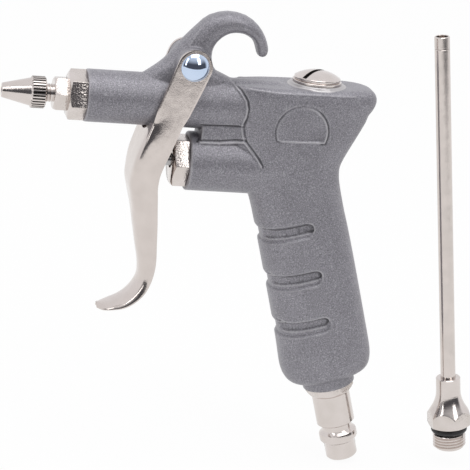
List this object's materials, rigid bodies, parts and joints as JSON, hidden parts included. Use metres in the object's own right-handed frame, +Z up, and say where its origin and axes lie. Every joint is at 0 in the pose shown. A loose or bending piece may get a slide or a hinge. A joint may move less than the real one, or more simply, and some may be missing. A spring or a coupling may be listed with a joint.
{
  "type": "pneumatic air duster",
  "caption": "Hand-held blow gun with a raked finger-groove grip, hanging hook, squeeze lever, cone nozzle, quick plug inlet and a spare long tube nozzle.",
  "frame": {"origin": "centre of the inlet plug's end face", "axes": "+X to the rear of the gun, so the nozzle points along -X; +Z up along the gun's height; +Y across it"},
  "size_m": [0.167, 0.0242, 0.1493],
  "materials": {
    "cast_paint": "fine metallic grey paint on die-cast alloy",
    "nickel_sheet": "bright nickel plate on pressed steel sheet",
    "zinc_rivet": "blue zinc plate",
    "nickel_turned": "nickel plate on turned brass",
    "nickel_tube": "nickel plate on drawn tube",
    "steel_pin": "ground steel",
    "bare_brass": "turned brass",
    "seal_rubber": "matt black nitrile"
  },
  "bodies": {
    "gun": {"body_casting": "cast_paint", "pivot_rivet": "zinc_rivet", "valve_gland_nut": "nickel_turned", "gland_ring": "seal_rubber", "stem_o_ring": "seal_rubber", "valve_cage": "bare_brass", "cage_o_ring": "seal_rubber", "valve_spring": "steel_pin", "nozzle_bushing": "nickel_turned", "bushing_seal": "seal_rubber", "nozzle_holder": "nickel_turned", "port_plug": "nickel_turned", "port_plug_washer": "nickel_turned", "inlet_plug": "nickel_turned", "inlet_seal": "seal_rubber"},
    "trigger": {"trigger_lever": "nickel_sheet"},
    "valve": {"valve_stem": "steel_pin", "valve_poppet": "bare_brass", "poppet_seal": "seal_rubber"},
    "tip_packing": {"tip_seal": "seal_rubber"},
    "tip": {"nozzle_tip": "nickel_turned"},
    "spare_nozzle": {"spare_tube": "nickel_tube", "spare_outlet": "nickel_tube", "spare_fitting": "nickel_turned", "spare_o_ring": "seal_rubber"}
  },
  "joints": [
    {"name": "trigger_squeeze", "type": "hinge", "parent": "gun", "child": "trigger", "pos_m": [-0.06598, 0, 0.1311], "axis": [0, -1, 0], "range_deg": [0, 4.2], "stiffness_Nm_per_rad": 0.8, "springref_deg": -2.86},
    {"name": "valve_stroke", "type": "slide", "parent": "gun", "child": "valve", "axis": [1, 0, 0], "range_m": [0, 0.0026], "deforming": ["valve_spring"]},
    {"name": "tip_advance", "type": "slide", "parent": "gun", "child": "tip_packing", "axis": [-1, 0, 0], "range_m": [0, 0.0041]},
    {"name": "tip_turn", "type": "hinge", "parent": "tip_packing", "child": "tip", "pos_m": [-0.1159, 0, 0.118], "axis": [-1, 0, 0], "range_deg": [0, 1480]},
    {"name": "spare_lift", "type": "slide", "parent": "gun", "child": "spare_nozzle", "axis": [0, 0, 1], "range_m": [0, 0.05]}
  ],
  "couplings": [
    {"joint": "valve_stroke", "follows": "trigger_squeeze", "m_per_rad": 0.0346},
    {"joint": "tip_turn", "follows": "tip_advance", "rad_per_m": 6283.2}
  ]
}
